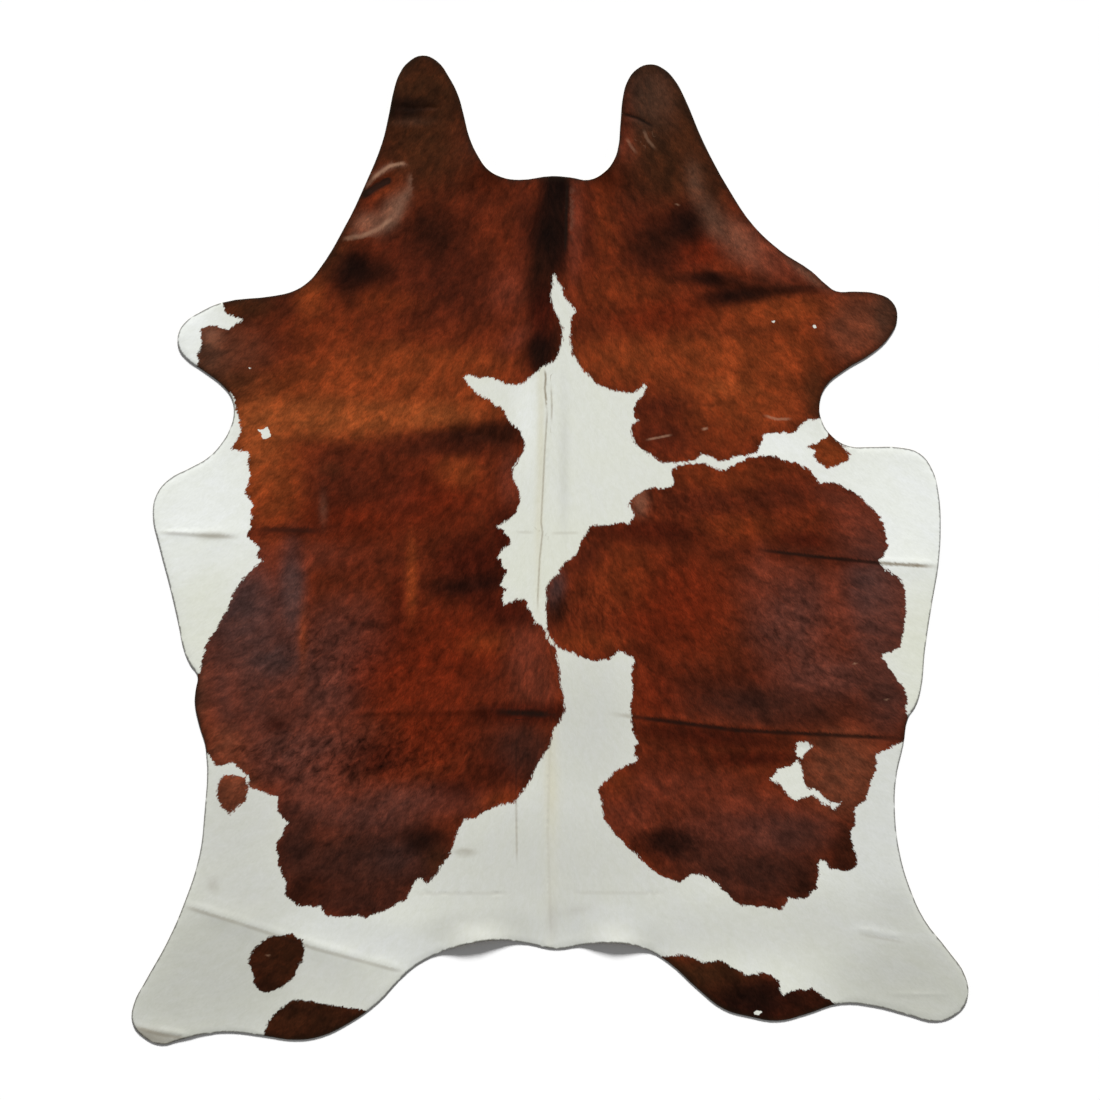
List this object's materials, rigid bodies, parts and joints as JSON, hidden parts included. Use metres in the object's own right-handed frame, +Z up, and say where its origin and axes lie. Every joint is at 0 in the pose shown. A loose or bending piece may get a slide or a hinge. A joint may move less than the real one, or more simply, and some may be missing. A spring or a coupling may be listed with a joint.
{
  "type": "cowhide rug",
  "caption": "Whole natural cowhide laid flat as a floor rug, hair side up, with its neck, cheeks, shanks and tail edge.",
  "frame": {"origin": "on the floor, under the middle of the hide's outline box", "axes": "+X to the right of the hide seen from above with the neck at the top, +Y towards the neck, +Z up off the floor"},
  "size_m": [1.7987, 2.1256, 0.0179],
  "materials": {
    "hair_coat": "short lying hair, reddish brown patches on an off-white ground, low sheen"
  },
  "bodies": {
    "root": {"hide": "hair_coat"}
  },
  "joints": []
}
